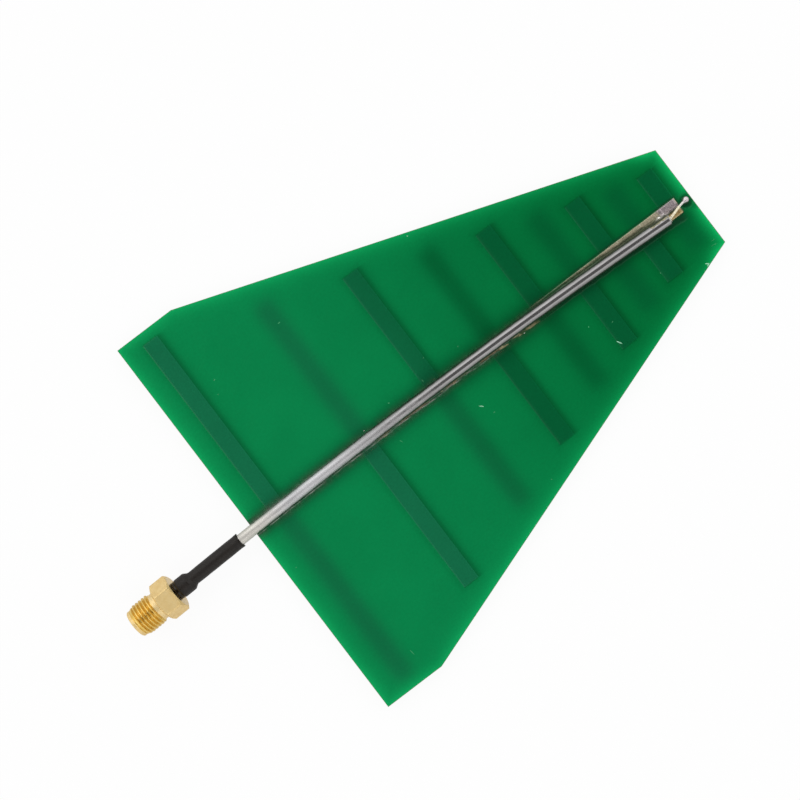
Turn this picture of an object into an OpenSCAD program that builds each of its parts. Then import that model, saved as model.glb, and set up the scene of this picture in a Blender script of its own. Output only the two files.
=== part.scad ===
// Printed log-periodic dipole antenna with a soldered semi-rigid line and a threaded coaxial jack.
// Sizes are in millimetres. +X runs along the boom to the narrow tip, +Z is the front face's normal.

/* [Dipoles] */
// Number of printed dipoles
element_count = 9; // [3:1:10]
// Half-length of the longest dipole, from the boom's axis
longest_half = 39.7; // [30:0.1:55]
// Ratio of each half-length to the one before it
length_ratio = 0.825; // [0.78:0.005:0.88]
// Distance from the first dipole to the second
first_gap = 20.6; // [14:0.1:26]
// Ratio of each distance to the one before it
gap_ratio = 0.815; // [0.75:0.005:0.9]
// Smallest distance between two dipoles
least_gap = 7; // [5:0.1:9]
// Width of the longest dipole's strip
first_strip_w = 3; // [1.5:0.1:4]
// Width of the shortest dipole's strip
last_strip_w = 3.3; // [1.5:0.1:4]
// Width of the boom on either face
boom_w = 3.3; // [2.6:0.1:6]

/* [Board] */
// Distance from the wide edge to the first dipole's axis
wide_margin = 5.9; // [3:0.1:12]
// Distance from a strip's end to the side edge, at the wide end and at the tip
side_margin = 2.3; // [1:0.1:6]
// Distance from the last strip to the tip edge
tip_margin = 2.9; // [2.6:0.1:8]
// Length of the two parallel shoulders at the wide end
shoulder_len = 12.6; // [4:0.1:20]
// Thickness of the board over its copper
board_t = 1.6; // [0.8:0.1:3.2]
// Thickness of the copper
copper_t = 0.035; // [0.018:0.001:0.105]
// Thickness of the green coating
mask_t = 0.03; // [0.015:0.005:0.06]
// Gap between the front boom and the coating beside it
window_gap = 0.15; // [0.05:0.05:0.5]

/* [Feed] */
// Diameter of the feed hole
hole_d = 0.9; // [0.7:0.05:1.2]
// Distance from the tip edge to the feed hole's axis
hole_inset = 1.25; // [1.15:0.05:2.2]
// Width of the copper ring round the hole on the back
ring_w = 0.5; // [0.3:0.05:0.6]
// Diameter of the solder ball on the front
ball_d = 1.5; // [1.2:0.05:1.9]
// Height of the ball's centre over the laminate
ball_rise = 0.35; // [0.2:0.05:0.5]
// Height of the solder cone on the back
cone_h = 0.8; // [0.4:0.05:1.2]

/* [Line] */
// Outer diameter of the semi-rigid line
line_d = 2.18; // [1.8:0.01:2.6]
// Diameter of its white core
core_d = 1.68; // [1.2:0.01:1.75]
// Diameter of its centre wire
wire_d = 0.51; // [0.4:0.01:0.6]
// Distance from the line's end to the end of the front boom
line_setback = 3.3; // [2:0.1:6]
// Radius of the line's bow
bow_radius = 1250; // [900:10:4000]
// Distance from the wide edge to the crest of the bow
bow_crest_x = 36; // [20:1:60]
// Offset of the crest from the boom's axis
bow_crest_y = 0.36; // [-0.2:0.02:0.5]
// Straight length of bare wire where it leaves the core
wire_lead = 0.6; // [0.3:0.1:1.2]

/* [Solder] */
// Thickness of the solder bed on the boom
bed_t = 0.12; // [0.06:0.01:0.2]
// Depth to which the line is sunk in the bed
line_sink = 0.04; // [0.02:0.01:0.05]
// Radius of the fillet between the bed and the line's left flank
fillet_r = 0.55; // [0.3:0.05:0.6]
// Radius of the pool at the line's end
pool_r = 1.6; // [1:0.1:1.6]
// Height of the pool over the bed
pool_h = 0.4; // [0.2:0.05:0.5]
// Thickness of the solder film in the jack's rear bore
film_t = 0.08; // [0.04:0.01:0.15]
// Length of the solder fillet behind the jack
film_fillet = 0.6; // [0.3:0.1:1]

/* [Jack] */
// Bare line between the wide edge and the sleeve
bare_len = 2.9; // [1:0.1:20]
// Length of the sleeve
sleeve_len = 15.2; // [8:0.1:40]
// Wall of the sleeve
sleeve_wall = 0.33; // [0.2:0.01:0.6]
// Length over which the sleeve closes from the boss down to the line
sleeve_taper = 1; // [1:0.1:2.5]
// Diameter of the rear boss
boss_d = 3.2; // [3:0.1:4.5]
// Length of the rear boss
boss_len = 2.8; // [2:0.1:6]
// Hexagon across its flats
hex_af = 7; // [6.9:0.1:9]
// Length of the hexagon
hex_len = 3.8; // [2:0.1:5]
// Length of the chamfer on the hexagon's corners
hex_chamfer = 0.4; // [0.2:0.05:0.6]
// Turn of the hexagon's top flat to the left, in degrees
hex_turn = -6; // [-29:1:29]
// Outer diameter of the thread
thread_d = 6.3; // [6.2:0.01:6.35]
// Length of the barrel in front of the hexagon
barrel_len = 6.1; // [5:0.1:9]
// Diameter of the relief behind the thread
relief_d = 5.5; // [5.2:0.1:5.8]
// Length of the relief
relief_len = 1; // [0.5:0.1:1.5]
// Length over which the thread runs out to the nose
runout_len = 1; // [0.5:0.1:1.5]
// Diameter of the plain nose in front of the thread
nose_d = 5.5; // [5.2:0.1:5.8]
// Length of the nose
nose_len = 0.6; // [0.4:0.1:1]
// Depth of the chamfer at the nose's rim
rim_chamfer = 0.12; // [0.05:0.01:0.2]
// Diameter of the mouth
mouth_d = 4.6; // [4.6:0.01:4.67]
// Depth of the mouth to the mating plane
mouth_depth = 1.9; // [1.88:0.01:1.98]
// Diameter of the insulator
bead_d = 4.1; // [3.8:0.05:4.3]
// Length of the insulator
bead_len = 5; // [4:0.1:6]
// Outer diameter of the contact
contact_d = 1.27; // [1.25:0.01:1.29]
// Diameter of the contact's socket
socket_d = 0.94; // [0.9:0.01:0.95]
// Depth of the socket
socket_depth = 2.6; // [2:0.1:3]
// Number of slots in the socket
slot_count = 4; // [2:1:4]
// Width of a slot
slot_w = 0.12; // [0.08:0.01:0.15]
// Length of a slot
slot_len = 1.8; // [1:0.1:1.9]
// Length of centre wire that sits in the contact
wire_grip = 1.9; // [1:0.1:2]

/* [Hidden] */

// Facets of a full circle, and of the long bow's circle
$fn = 64;
BOW_FN = 2880;
// Overshoot of a cut past the face that it leaves by
CUT = 0.5;
// Angle of the chamfer on the hexagon's corners, from its end face
CHAMFER_ANGLE = 30;
// Swelling of the centre wire where it bends
BEND_SWELL = 1.05;
// Depth by which the fillet's hollow flank runs into the bed and into the line, so that it meets both
// at an angle, and the turn between the flank's facets
BITE = 0.06;
FLANK_STEP = 35;
// Distance from the wide edge to the solder, and the gap between the line and the solder round it
SOLDER_INSET = 0.5;
SEAT_GAP = 0.05;

// Places, lengths and widths of the dipoles, numbered from 0 at the wide end
function gap(i) = max(first_gap * pow(gap_ratio, i), least_gap);
function strip_x(i) = i == 0 ? wide_margin : strip_x(i - 1) + gap(i - 1);
function strip_half(i) = longest_half * pow(length_ratio, i);
function strip_w(i) = first_strip_w + (last_strip_w - first_strip_w) * i / (element_count - 1);
// Side of the front half of a dipole: +1 is +Y
function strip_side(i) = i % 2 == 0 ? 1 : -1;

// Board
last = element_count - 1;
laminate_t = board_t - 2 * copper_t;
boom_end = strip_x(last) + strip_w(last) / 2;
board_len = boom_end + tip_margin;
wide_half = longest_half + side_margin;
tip_half = strip_half(last) + side_margin;
hole_x = board_len - hole_inset;
ring_r = hole_d / 2 + ring_w;
// The coating overlaps the copper ring by half its width on the back
back_open_r = hole_d / 2 + ring_w / 2;
// Foot of the solder ball where it meets the laminate, and the coating's opening round it
ball_foot_r = sqrt(pow(ball_d / 2, 2) - pow(ball_rise, 2));
front_open_r = ball_foot_r + window_gap;

// Line: height of its axis, and angles along the bow measured from its crest
line_r = line_d / 2;
line_z = copper_t + bed_t - line_sink + line_r;
line_end_x = boom_end - line_setback;
edge_angle = -asin(bow_crest_x / bow_radius);
tip_angle = asin((line_end_x - bow_crest_x) / bow_radius);
function bow_point(a) = [bow_crest_x + bow_radius * sin(a),
                         bow_crest_y - bow_radius * (1 - cos(a)),
                         line_z];
function arc_degrees(length) = length / bow_radius * 180 / PI;

// Centre wire's route from the core's end to the hole
wire_bend = bow_point(tip_angle + arc_degrees(wire_lead));
wire_knee = [hole_x, 0, ball_rise + wire_d / 2];
back_z = -laminate_t - copper_t;
wire_tip = [hole_x, 0, back_z - cone_h];

// Jack: stations along the straight part of the line, outwards from the wide edge
hex_rear = bare_len + sleeve_len;
boss_rear = hex_rear - boss_len;
hex_front = hex_rear + hex_len;
jack_rim = hex_front + barrel_len;
mating_plane = jack_rim - mouth_depth;
bead_rear = mating_plane - bead_len;
hex_corner_r = hex_af / 2 / cos(30);

// Origin: the middle of the part's footprint, at its lowest point
rim_x = -jack_rim * cos(edge_angle) + (nose_d / 2 - rim_chamfer) * sin(edge_angle);
middle_x = (board_len + rim_x) / 2;
hex_low = line_z - hex_corner_r * cos(30 - abs(hex_turn));
low_z = min(hex_low, wire_tip[2]);

module in_frame() {
    translate([-middle_x, 0, -low_z])
        children();
}

// Local frame where the line crosses the wide edge: +X runs along the line to the tip, +Z is up
module on_line() {
    translate(bow_point(edge_angle))
        rotate(-edge_angle)
            children();
}

// Local +Z runs outwards along the jack's axis from the wide edge; local +X is up
module on_jack() {
    on_line()
        rotate([0, -90, 0])
            children();
}

// Sweeps an outline along the bow, from the wide edge to a lead past the line's end;
// the outline's +X is to the left and its +Y is down
module bowed(lead = 0) {
    on_line()
        translate([0, -bow_radius, 0])
            rotate([180, 0, 90])
                rotate_extrude(angle = tip_angle - edge_angle + arc_degrees(lead), $fn = BOW_FN)
                    translate([bow_radius, 0])
                        children();
}

// Rod along the line: bowed on the board, straight out to a station in the jack
module line_rod(d, reach, lead = 0) {
    bowed(lead)
        circle(d = d);
    on_jack()
        cylinder(d = d, h = reach);
}

// Round rod between two points
module rod(from, to, d) {
    run = to - from;
    translate(from)
        rotate([0, acos(run[2] / norm(run)), atan2(run[1], run[0])])
            cylinder(d = d, h = norm(run));
}

// Outlines on the board

module board_outline() {
    polygon([[0, -wide_half], [shoulder_len, -wide_half], [board_len, -tip_half],
             [board_len, tip_half], [shoulder_len, wide_half], [0, wide_half]]);
}

module boom_outline(reach, grow = 0) {
    translate([0, -boom_w / 2 - grow])
        square([reach + grow, boom_w + 2 * grow]);
}

// Half-dipoles of one face; face is +1 for the front and -1 for the mirrored back
module strip_outlines(face, grow = 0) {
    for (i = [0 : last])
        translate([strip_x(i) - strip_w(i) / 2 - grow, face * strip_side(i) > 0 ? 0 : -strip_half(i) - grow])
            square([strip_w(i) + 2 * grow, strip_half(i) + grow]);
}

module at_hole() {
    translate([hole_x, 0])
        children();
}

module front_pattern() {
    boom_outline(boom_end);
    strip_outlines(1);
}

module back_pattern(grow = 0) {
    boom_outline(hole_x, grow);
    strip_outlines(-1, grow);
    at_hole()
        circle(ring_r + grow);
}

// Board

module substrate() {
    color("yellowgreen")
        in_frame()
            translate([0, 0, -laminate_t])
                linear_extrude(laminate_t)
                    difference() {
                        board_outline();
                        at_hole()
                            circle(d = hole_d);
                    }
}

module front_copper() {
    color("peru")
        in_frame()
            linear_extrude(copper_t)
                front_pattern();
}

module back_copper() {
    color("peru")
        in_frame()
            translate([0, 0, back_z])
                linear_extrude(copper_t)
                    difference() {
                        back_pattern();
                        at_hole()
                            circle(d = hole_d);
                    }
}

// The coating lies on the laminate and rises over each strip
module front_solder_mask() {
    color("green")
        in_frame()
            difference() {
                union() {
                    linear_extrude(mask_t)
                        board_outline();
                    linear_extrude(copper_t + mask_t)
                        strip_outlines(1, mask_t);
                }
                translate([0, 0, -CUT])
                    linear_extrude(CUT + copper_t)
                        strip_outlines(1);
                translate([-CUT, 0, -CUT])
                    linear_extrude(2 * CUT)
                        boom_outline(boom_end + CUT, window_gap);
                at_hole()
                    cylinder(r = front_open_r, h = 2 * CUT, center = true);
            }
}

module back_solder_mask() {
    color("green")
        in_frame()
            translate([0, 0, -laminate_t])
                mirror([0, 0, 1])
                    difference() {
                        union() {
                            linear_extrude(mask_t)
                                board_outline();
                            linear_extrude(copper_t + mask_t)
                                intersection() {
                                    back_pattern(mask_t);
                                    board_outline();
                                }
                        }
                        translate([0, 0, -CUT])
                            linear_extrude(CUT + copper_t)
                                back_pattern();
                        at_hole()
                            cylinder(r = back_open_r, h = 2 * CUT, center = true);
                    }
}

// Solder

// Section of the fillet, upside down: its foot is inside the bed and its back is inside the line
module fillet_section() {
    bed_drop = line_r - line_sink;
    arc_drop = bed_drop - fillet_r + BITE;
    arc_y = sqrt(pow(line_r + fillet_r - BITE, 2) - pow(arc_drop, 2));
    heel_y = sqrt(line_r * line_r - bed_drop * bed_drop) / 2;
    foot = bed_drop + bed_t / 2 + BITE / 2;
    flank = [for (turn = [0 : FLANK_STEP : 2 * FLANK_STEP])
        [arc_y - fillet_r * cos(turn), arc_drop + fillet_r * sin(turn)]];
    polygon(concat([[heel_y, arc_drop]], flank, [[flank[2][0], foot], [heel_y, foot]]));
}

// Flat cap of a sphere that rests on the bed past the line's end
module solder_pool() {
    sphere_r = (pool_r * pool_r + pool_h * pool_h) / (2 * pool_h);
    translate([line_end_x + pool_r, bow_crest_y, copper_t + bed_t + pool_h - sphere_r])
        rotate([90, 0, 0])
            sphere(sphere_r, $fn = 128);
}

// Takes the solder off square to the line, a little way in from the wide edge
module solder_end() {
    on_line()
        translate([0, -bow_radius, 0])
            rotate(-arc_degrees(SOLDER_INSET))
                translate([-boom_w, bow_radius - boom_w, -line_d])
                    cube([boom_w, 2 * boom_w, 2 * line_d]);
}

// Seat of the line in the solder
module line_seat(lead = 0) {
    line_rod(line_d + 2 * SEAT_GAP, bare_len, lead);
}

module solder_bed() {
    difference() {
        union() {
            translate([0, 0, copper_t])
                linear_extrude(bed_t)
                    boom_outline(boom_end);
            solder_pool();
        }
        line_seat();
    }
}

module solder_fillet() {
    difference() {
        bowed()
            fillet_section();
        line_seat(CUT);
    }
}

module boom_solder() {
    color("silver")
        in_frame()
            difference() {
                intersection() {
                    union() {
                        solder_bed();
                        solder_fillet();
                    }
                    translate([0, 0, copper_t])
                        linear_extrude(line_d)
                            boom_outline(boom_end);
                }
                solder_end();
            }
}

module feed_solder() {
    color("gainsboro")
        in_frame()
            difference() {
                union() {
                    intersection() {
                        translate([hole_x, 0, ball_rise])
                            sphere(d = ball_d);
                        at_hole()
                            cylinder(d = ball_d, h = ball_d);
                    }
                    translate([hole_x, 0, back_z])
                        cylinder(d = hole_d, h = laminate_t + copper_t);
                    translate([hole_x, 0, back_z - cone_h])
                        cylinder(r1 = wire_d, r2 = back_open_r, h = cone_h);
                }
                wire_tail();
            }
}

// Line

module coax_outer_conductor() {
    color("lightgray")
        in_frame()
            difference() {
                line_rod(line_d, bead_rear);
                line_rod(core_d, bead_rear + CUT, CUT);
            }
}

module coax_dielectric() {
    color("white")
        in_frame()
            difference() {
                line_rod(core_d, bead_rear);
                line_rod(wire_d, bead_rear + CUT, CUT);
            }
}

// Bare wire from its first bend, over the boom's end and down through the hole
module wire_tail() {
    rod(wire_bend, wire_knee, wire_d);
    rod(wire_knee, wire_tip, wire_d);
    for (bend = [wire_bend, wire_knee])
        translate(bend)
            sphere(d = wire_d * BEND_SWELL);
}

module coax_centre_conductor() {
    color("silver")
        in_frame() {
            line_rod(wire_d, bead_rear + wire_grip, wire_lead);
            wire_tail();
        }
}

// Jack

module heat_shrink_sleeve() {
    boss_r = boss_d / 2;
    taper_end = boss_rear - sleeve_taper;
    color("#2d2a28")
        in_frame()
            on_jack()
                rotate_extrude()
                    polygon([[line_r, bare_len], [line_r + sleeve_wall, bare_len],
                             [line_r + sleeve_wall, taper_end], [boss_r + sleeve_wall, boss_rear],
                             [boss_r + sleeve_wall, hex_rear], [boss_r, hex_rear],
                             [boss_r, boss_rear], [line_r, taper_end]]);
}

// Hexagon with its corners turned off at both ends
module chamfered_hexagon() {
    slant = hex_chamfer / tan(CHAMFER_ANGLE);
    intersection() {
        rotate(30 + hex_turn)
            cylinder(r = hex_corner_r, h = hex_len, $fn = 6);
        rotate_extrude()
            polygon([[0, 0], [hex_corner_r - slant, 0], [hex_corner_r, hex_chamfer],
                     [hex_corner_r, hex_len - hex_chamfer], [hex_corner_r - slant, hex_len], [0, hex_len]]);
    }
}

// Threaded barrel: relief, thread, run-out and nose; its root reaches back into the hexagon
module barrel() {
    thread_r = thread_d / 2;
    nose_r = nose_d / 2;
    relief_step = (thread_d - relief_d) / 2;
    nose_start = barrel_len - nose_len;
    root = -hex_len / 2;
    rotate_extrude()
        polygon([[0, root], [relief_d / 2, root], [relief_d / 2, relief_len], [thread_r, relief_len + relief_step],
                 [thread_r, nose_start - runout_len], [nose_r, nose_start], [nose_r, barrel_len - rim_chamfer],
                 [nose_r - rim_chamfer, barrel_len], [0, barrel_len]]);
}

module connector_body() {
    color("goldenrod")
        in_frame()
            on_jack()
                difference() {
                    union() {
                        translate([0, 0, boss_rear])
                            cylinder(d = boss_d, h = boss_len + hex_len / 2);
                        translate([0, 0, hex_rear])
                            chamfered_hexagon();
                        translate([0, 0, hex_front])
                            barrel();
                    }
                    translate([0, 0, boss_rear - CUT])
                        cylinder(d = line_d + 2 * film_t, h = bead_rear - boss_rear + 2 * CUT);
                    translate([0, 0, bead_rear])
                        cylinder(d = bead_d, h = bead_len + CUT);
                    translate([0, 0, mating_plane])
                        cylinder(d = mouth_d, h = mouth_depth + CUT);
                }
}

module connector_insulator() {
    color("ivory")
        in_frame()
            on_jack()
                translate([0, 0, bead_rear])
                    difference() {
                        cylinder(d = bead_d, h = bead_len);
                        translate([0, 0, -CUT])
                            cylinder(d = contact_d, h = bead_len + 2 * CUT);
                    }
}

// Socket contact: a slotted bore for the mating pin in front, the line's wire behind
module connector_contact() {
    color("gold")
        in_frame()
            on_jack()
                difference() {
                    translate([0, 0, bead_rear])
                        cylinder(d = contact_d, h = bead_len);
                    translate([0, 0, bead_rear - CUT])
                        cylinder(d = wire_d, h = wire_grip + CUT);
                    translate([0, 0, mating_plane - socket_depth])
                        cylinder(d = socket_d, h = socket_depth + CUT);
                    for (i = [0 : slot_count - 1])
                        rotate(i * 360 / slot_count)
                            translate([0, -slot_w / 2, mating_plane - slot_len])
                                cube([contact_d, slot_w, slot_len + CUT]);
                }
}

module connector_solder() {
    film_r = line_r + film_t;
    color("silver")
        in_frame()
            on_jack()
                rotate_extrude()
                    polygon([[line_r, boss_rear - film_fillet], [(film_r + boss_d / 2) / 2, boss_rear],
                             [film_r, boss_rear], [film_r, bead_rear], [line_r, bead_rear]]);
}

substrate();
front_copper();
back_copper();
front_solder_mask();
back_solder_mask();
boom_solder();
feed_solder();
coax_outer_conductor();
coax_dielectric();
coax_centre_conductor();
heat_shrink_sleeve();
connector_body();
connector_insulator();
connector_contact();
connector_solder();
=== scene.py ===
import math

import bmesh
import bpy
import numpy as np
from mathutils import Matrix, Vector


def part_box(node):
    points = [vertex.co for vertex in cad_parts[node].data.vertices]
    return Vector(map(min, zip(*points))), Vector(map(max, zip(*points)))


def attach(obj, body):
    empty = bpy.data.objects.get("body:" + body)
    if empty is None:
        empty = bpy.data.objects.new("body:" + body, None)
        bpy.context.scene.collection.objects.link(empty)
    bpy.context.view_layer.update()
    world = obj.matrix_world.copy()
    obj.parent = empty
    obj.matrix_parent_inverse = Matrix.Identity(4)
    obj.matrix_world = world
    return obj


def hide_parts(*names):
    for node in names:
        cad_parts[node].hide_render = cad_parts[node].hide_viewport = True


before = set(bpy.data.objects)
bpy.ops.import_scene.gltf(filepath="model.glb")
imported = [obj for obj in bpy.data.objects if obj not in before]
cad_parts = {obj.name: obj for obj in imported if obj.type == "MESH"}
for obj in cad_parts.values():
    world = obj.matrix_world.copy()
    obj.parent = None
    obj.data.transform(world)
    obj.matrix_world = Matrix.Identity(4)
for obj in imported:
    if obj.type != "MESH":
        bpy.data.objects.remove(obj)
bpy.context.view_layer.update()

# Board, in millimetres: x from the wide edge, y from the boom's axis, z from the laminate's front face
MM = 0.001
ELEMENTS = 9
LONGEST_HALF = 39.7
LENGTH_RATIO = 0.825
FIRST_GAP = 20.6
GAP_RATIO = 0.815
LEAST_GAP = 7.0
FIRST_STRIP_W = 3.0
LAST_STRIP_W = 3.3
BOOM_HALF = 1.65
WIDE_MARGIN = 5.9
SIDE_MARGIN = 2.3
TIP_MARGIN = 2.9
SHOULDER = 12.6
COPPER_T = 0.035
MASK_T = 0.03
LAMINATE_T = 1.53
WINDOW_GAP = 0.15
HOLE_INSET = 1.25
HOLE_R = 0.45
# The coating stops this far short of the sawn edges
EDGE_BACK = 0.08

gaps = [max(FIRST_GAP * GAP_RATIO ** i, LEAST_GAP) for i in range(ELEMENTS - 1)]
strip_x = WIDE_MARGIN + np.concatenate([[0.0], np.cumsum(gaps)])
strip_half = LONGEST_HALF * LENGTH_RATIO ** np.arange(ELEMENTS)
strip_w = np.linspace(FIRST_STRIP_W, LAST_STRIP_W, ELEMENTS)
strip_side = np.where(np.arange(ELEMENTS) % 2 == 0, 1, -1)
BOOM_END = strip_x[-1] + strip_w[-1] / 2
BOARD_LEN = BOOM_END + TIP_MARGIN
WIDE_HALF = LONGEST_HALF + SIDE_MARGIN
TIP_HALF = strip_half[-1] + SIDE_MARGIN
HOLE_X = BOARD_LEN - HOLE_INSET

# Line and jack
LINE_R = 1.09
CORE_R = 0.84
WIRE_R = 0.255
LINE_Z = 1.205
LINE_SETBACK = 3.3
LINE_END_X = BOOM_END - LINE_SETBACK
BOW_R = 1250.0
CREST_X = 36.0
CREST_Y = 0.36
BARE_LEN = 2.9
BOSS_REAR = 15.3
HEX_REAR = 18.1
HEX_FRONT = 21.9
JACK_RIM = 28.0
MATING_PLANE = 26.1
BEAD_REAR = 21.1
BOSS_R = 1.6
SLEEVE_WALL = 0.33
SLEEVE_TAPER = 1.0
HEX_AF = 7.0
HEX_TURN = math.radians(-6)
THREAD_R = 3.15
THREAD_DEPTH = 0.43
RELIEF_R = 2.75
RELIEF_LEN = 1.0
RUNOUT_LEN = 1.0
NOSE_R = 2.75
NOSE_LEN = 0.6
RIM_CHAMFER = 0.12
MOUTH_R = 2.3
BEAD_R = 2.05
PITCH = 25.4 / 36

substrate_low, substrate_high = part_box("substrate")
ORIGIN = np.array([substrate_low.x, 0.0, substrate_high.z]) / MM


# Colours: written as display values from 0 to 255, used as linear light
def linear(*display):
    c = np.array(display, float) / 255
    return np.where(c <= 0.04045, c / 12.92, ((c + 0.055) / 1.055) ** 2.4)


# The greens are lighter at the wide end than at the tip by a painted reflection of soft light across the
# board
OPEN_WIDE = linear(7, 125, 70)
OPEN_TIP = linear(0, 102, 49)
STRIP_WIDE = linear(18, 104, 68)
STRIP_TIP = linear(3, 86, 47)
BURIED_WIDE = linear(14, 103, 63)
BURIED_TIP = linear(1, 90, 46)
FLUX_GREY = linear(98, 108, 94)
SHADED_FLUX = linear(17, 58, 36)
CREPT_RIM = linear(40, 92, 62)
EDGE_GLOW = np.array([0.003, 0.21, 0.057])
RIM_LIGHT = np.array([0.008, 0.022, 0.014])


# Ramps on arrays
BLUR_SLOPE = 1.2


def smooth(low, high, value):
    """0 at low to 1 at high; low may be above high."""
    t = np.clip((value - low) / (high - low), 0, 1)
    return t * t * (3 - 2 * t)


def band(low, rise, fall, high, value):
    """0 at low, 1 from rise to fall, and 0 again at high."""
    return smooth(low, rise, value) * smooth(high, fall, value)


def soft_box(value, low, high, blur):
    """1 between low and high, with blurred ends."""
    rise = 0.5 * (1 + np.tanh(BLUR_SLOPE * (value - low) / blur))
    fall = 0.5 * (1 + np.tanh(BLUR_SLOPE * (high - value) / blur))
    return rise * fall


def bell(value, width):
    return np.exp(-(value / width) ** 2)


def fall_off(value, reach):
    """1 up to zero, then a decay over the reach."""
    return np.exp(-np.maximum(value, 0) / reach)


def mix(a, b, t):
    return a + (b - a) * np.asarray(t)[..., None]


class Ripple:
    """Seeded smooth noise, about -1 to 1: a sum of plane waves."""

    EACH = 4
    SPREAD = (0.8, 1.25)
    HEIGHT = 0.6

    def __init__(self, seed, waves, dims=2):
        rng = np.random.default_rng(seed)
        count = len(waves) * self.EACH
        self.k = rng.normal(size=(count, dims))
        self.k /= np.linalg.norm(self.k, axis=1)[:, None]
        lengths = np.repeat(waves, self.EACH) * rng.uniform(*self.SPREAD, count)
        self.k *= (2 * math.pi / lengths)[:, None]
        self.phase = rng.uniform(0, 2 * math.pi, count)
        self.scale = 1 / math.sqrt(count * 0.5) * self.HEIGHT

    def __call__(self, *coords):
        p = np.stack(np.broadcast_arrays(*coords), -1)
        return np.sin(p @ self.k.T + self.phase).sum(-1) * self.scale


# Meshes
def add_object(name, data):
    made = bpy.data.objects.new(name, data)
    bpy.context.scene.collection.objects.link(made)
    return made


def finish_piece(name, bm, material, sharp, replaces=()):
    """A piece whose edges stay sharp from an angle in degrees up."""
    bmesh.ops.recalc_face_normals(bm, faces=bm.faces)
    limit = math.radians(sharp)
    for face in bm.faces:
        face.smooth = True
    for edge in bm.edges:
        edge.smooth = len(edge.link_faces) == 2 and edge.calc_face_angle(0.0) < limit
    mesh = bpy.data.meshes.new(name)
    bm.to_mesh(mesh)
    bm.free()
    piece = add_object(name, mesh)
    mesh.materials.append(material)
    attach(piece, "root")
    if replaces:
        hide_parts(*replaces)
    return mesh


def to_frame(points):
    return (np.asarray(points, float) + ORIGIN) * MM


def mesh_points(mesh):
    """Vertex places in board millimetres."""
    co = np.zeros(len(mesh.vertices) * 3)
    mesh.vertices.foreach_get("co", co)
    return co.reshape(-1, 3) / MM - ORIGIN


def add_colour(mesh, name, colours):
    layer = mesh.attributes.new(name, "FLOAT_COLOR", "POINT")
    data = np.ones((len(colours), 4), np.float32)
    data[:, :3] = np.clip(colours, 0, 1)
    layer.data.foreach_set("color", data.ravel())


def add_value(mesh, name, values):
    layer = mesh.attributes.new(name, "FLOAT", "POINT")
    layer.data.foreach_set("value", np.asarray(values, np.float32))


def ring_verts(bm, rings):
    return [[bm.verts.new(p) for p in to_frame(ring)] for ring in rings]


def join_rings(bm, pairs):
    for a, b in pairs:
        for i in range(len(a)):
            j = (i + 1) % len(a)
            bm.faces.new((a[i], a[j], b[j], b[i]))


def skin(rings, bm):
    """Adds a tube with closed ends, from rings of equal length in board millimetres."""
    made = ring_verts(bm, rings)
    join_rings(bm, zip(made, made[1:]))
    bm.faces.new(made[0])
    bm.faces.new(made[-1][::-1])
    return bm


def loop_skin(rings):
    """A closed band of rings: the last one joins the first."""
    bm = bmesh.new()
    made = ring_verts(bm, rings)
    join_rings(bm, zip(made, made[1:] + made[:1]))
    return bm


# The line's route: s runs from the wide edge to the tip along the bow, and is negative out to the jack
EDGE_ANGLE = -math.asin(CREST_X / BOW_R)
TIP_ANGLE = math.asin((LINE_END_X - CREST_X) / BOW_R)
LINE_END = BOW_R * (TIP_ANGLE - EDGE_ANGLE)
UP = np.array([0.0, 0.0, 1.0])


def on_line(s):
    """Centre, direction to the tip, and direction to the left at s."""
    a = EDGE_ANGLE + max(s, 0.0) / BOW_R
    centre = np.array([CREST_X + BOW_R * math.sin(a), CREST_Y - BOW_R * (1 - math.cos(a)), LINE_Z])
    along = np.array([math.cos(a), -math.sin(a), 0.0])
    left = np.array([math.sin(a), math.cos(a), 0.0])
    return centre + along * min(s, 0.0), along, left


def line_y(x):
    return CREST_Y - BOW_R + np.sqrt(BOW_R ** 2 - (np.asarray(x, float) - CREST_X) ** 2)


def turn(count):
    return np.arange(count) * 2 * math.pi / count


def ring_at(s, radius, count):
    """Ring about the line at s; radius is a number, or one for each angle from up to the left."""
    centre, along, left = on_line(s)
    phi = turn(count)
    r = np.broadcast_to(radius, phi.shape)[:, None]
    return centre + r * (np.cos(phi)[:, None] * UP + np.sin(phi)[:, None] * left)


def rings_behind(profile, count):
    """Rings from pairs of distance behind the wide edge and radius."""
    return [ring_at(-q, radius, count) for q, radius in profile]


def behind_edge(mesh):
    """How far each vertex is behind the wide edge, along the line."""
    centre, along, _ = on_line(0.0)
    return (centre - mesh_points(mesh)) @ along


# Material nodes
NOISE_SPAN = (0.3, 0.7)


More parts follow.
